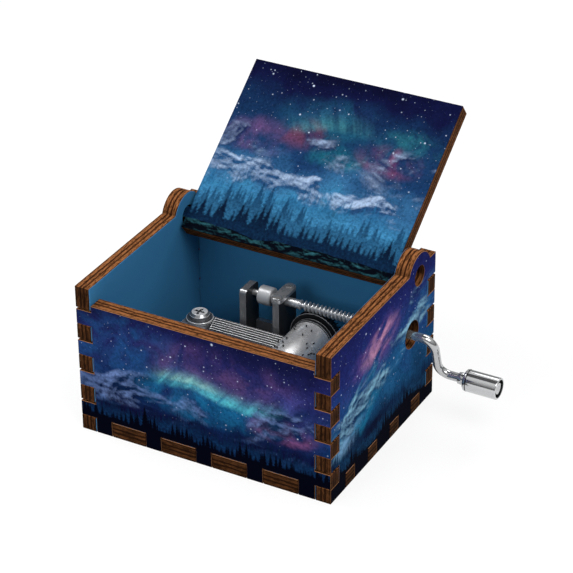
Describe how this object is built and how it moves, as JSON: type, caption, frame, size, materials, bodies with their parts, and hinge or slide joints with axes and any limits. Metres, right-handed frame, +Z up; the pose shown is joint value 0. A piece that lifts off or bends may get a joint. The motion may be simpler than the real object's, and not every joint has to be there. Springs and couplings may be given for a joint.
{
  "type": "hand crank music box",
  "caption": "Finger-jointed plywood music box with a pivoting printed lid and a comb-and-drum movement turned by a bent wire crank through a worm gear.",
  "frame": {"origin": "centre of the case's footprint on the surface it stands on", "axes": "+X to the crank's side, -Y to the front, +Z up"},
  "size_m": [0.0849, 0.0774, 0.0625],
  "materials": {
    "printed_plywood": "night sky print on the outside, flat blue inside, dark laser-cut edges",
    "base_plywood": "bare brown plywood with dark laser-cut edges",
    "cast_frame": "dark satin die-cast metal",
    "spring_steel": "ground spring steel",
    "bright_steel": "bright turned steel",
    "nickel": "satin nickel plate",
    "black_nylon": "moulded, semi-matte",
    "chrome": "polished chrome plate"
  },
  "bodies": {
    "case": {"front_wall": "printed_plywood", "back_wall": "printed_plywood", "left_wall": "printed_plywood", "right_wall": "printed_plywood", "base_panel": "base_plywood", "movement_frame": "cast_frame", "bearing_cap": "bright_steel", "cap_rivet_front": "bright_steel", "cap_rivet_rear": "bright_steel", "comb": "spring_steel", "comb_washer_rear": "bright_steel", "comb_screw_rear": "nickel", "comb_washer_front": "bright_steel", "comb_screw_front": "nickel", "mount_screw_1": "bright_steel", "mount_screw_2": "bright_steel", "mount_screw_3": "bright_steel"},
    "lid": {"lid_panel": "printed_plywood"},
    "drum": {"music_drum": "nickel", "drum_end_cap": "nickel", "drum_gear": "black_nylon", "drum_arbor": "bright_steel"},
    "crank": {"worm_shaft": "bright_steel", "shaft_collar": "nickel", "crank_arm": "chrome"},
    "knob": {"crank_knob": "chrome"}
  },
  "joints": [
    {"name": "lid_hinge", "type": "hinge", "parent": "case", "child": "lid", "pos_m": [0, 0.0172, 0.0357], "axis": [1, 0, 0], "range_deg": [0, 143]},
    {"name": "crank_spin", "type": "hinge", "parent": "case", "child": "crank", "pos_m": [0, 0.0131, 0.02235], "axis": [1, 0, 0], "continuous": true},
    {"name": "drum_spin", "type": "hinge", "parent": "case", "child": "drum", "pos_m": [0.00825, 0, 0.01548], "axis": [0, 1, 0], "continuous": true},
    {"name": "knob_spin", "type": "hinge", "parent": "crank", "child": "knob", "pos_m": [0.048, 0.01609, 0.01249], "axis": [1, 0, 0], "continuous": true}
  ],
  "couplings": [
    {"joint": "drum_spin", "follows": "crank_spin", "ratio": -0.027027}
  ]
}
